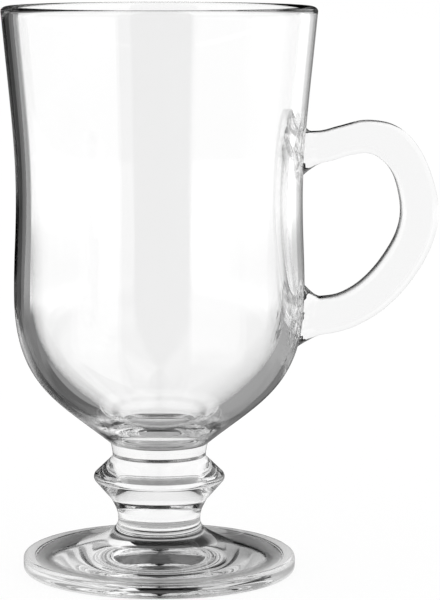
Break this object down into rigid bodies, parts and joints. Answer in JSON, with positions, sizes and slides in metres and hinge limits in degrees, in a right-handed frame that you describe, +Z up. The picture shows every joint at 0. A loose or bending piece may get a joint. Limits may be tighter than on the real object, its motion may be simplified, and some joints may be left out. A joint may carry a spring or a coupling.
{
  "type": "irish coffee mug",
  "caption": "Tall footed mug in clear glass: a tulip-shaped cup on a short knopped stem and a round foot, with a D-shaped strap handle at the side, for hot drinks.",
  "frame": {"origin": "centre of the foot's underside, on the cup's axis and in the plane that the foot's ring rests on", "axes": "+Z up along the cup's axis, +X out through the middle of the handle, Y across the handle"},
  "size_m": [0.1045, 0.0754, 0.1365],
  "materials": {
    "glass": "clear colourless soda-lime glass, fire-polished, smooth inside and out"
  },
  "bodies": {
    "root": {"foot": "glass", "stem": "glass", "cup": "glass", "handle": "glass"}
  },
  "joints": []
}
